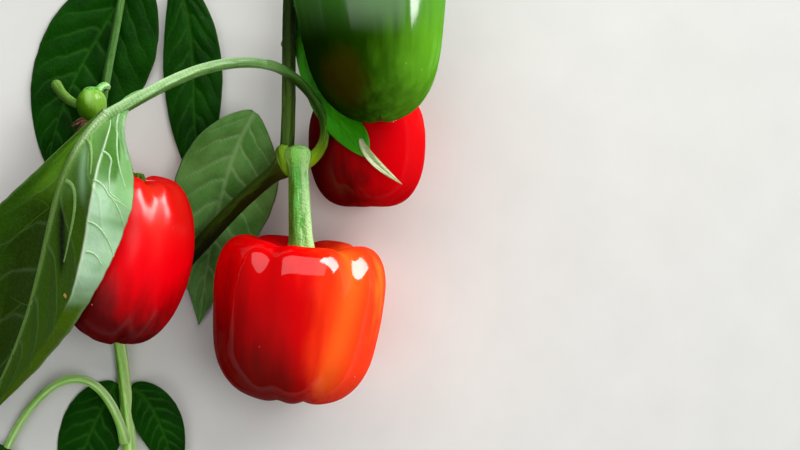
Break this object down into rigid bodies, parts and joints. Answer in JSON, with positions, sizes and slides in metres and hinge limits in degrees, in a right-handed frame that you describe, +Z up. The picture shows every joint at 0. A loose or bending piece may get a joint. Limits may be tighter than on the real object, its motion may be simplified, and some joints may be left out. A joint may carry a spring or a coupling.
{
  "type": "cut fruiting branch of a sweet pepper plant",
  "caption": "Cut branch of a sweet pepper plant lying on its side, with blocky ripe and unripe peppers on ridged stalks, forked shoots and large folded leaves.",
  "frame": {"origin": "middle of the box round the branch, on the surface that the branch lies on", "axes": "+Z up from that surface, +Y along the branch from its cut foot to its growing tips, +X to the right seen from above"},
  "size_m": [0.2509, 0.3664, 0.0968],
  "materials": {
    "ripe_skin": "very glossy waxy red skin, orange towards the light side",
    "unripe_skin": "very glossy waxy green skin, dark green to bright green",
    "shoot_skin": "satin ridged green shoot with brown and purple at the forks",
    "stalk_skin": "satin light green stalk with fine lengthwise ridges",
    "leaf_blade": "soft satin green leaf, paler underneath with raised veins"
  },
  "bodies": {
    "root": {"main_stem": "shoot_skin", "left_shoot": "shoot_skin", "right_shoot_lower": "shoot_skin", "right_shoot_upper": "shoot_skin", "front_pepper": "ripe_skin", "left_pepper": "ripe_skin", "rear_pepper": "ripe_skin", "green_pepper": "unripe_skin", "young_fruit": "unripe_skin", "front_pepper_stalk": "stalk_skin", "left_pepper_stalk": "stalk_skin", "green_pepper_stalk": "stalk_skin", "rear_pepper_stalk": "stalk_skin", "left_leaf_stalk_inner": "stalk_skin", "left_leaf_stalk_outer": "stalk_skin", "low_leaf_stalk": "stalk_skin", "left_leaf": "leaf_blade", "narrow_leaf": "leaf_blade", "dark_leaf_upper": "leaf_blade", "dark_leaf_middle": "leaf_blade", "pale_leaf": "leaf_blade", "low_leaf": "leaf_blade", "foot_leaf_left": "leaf_blade", "foot_leaf_right": "leaf_blade", "top_leaf": "leaf_blade", "left_tip": "leaf_blade", "right_tip": "leaf_blade"}
  },
  "joints": []
}
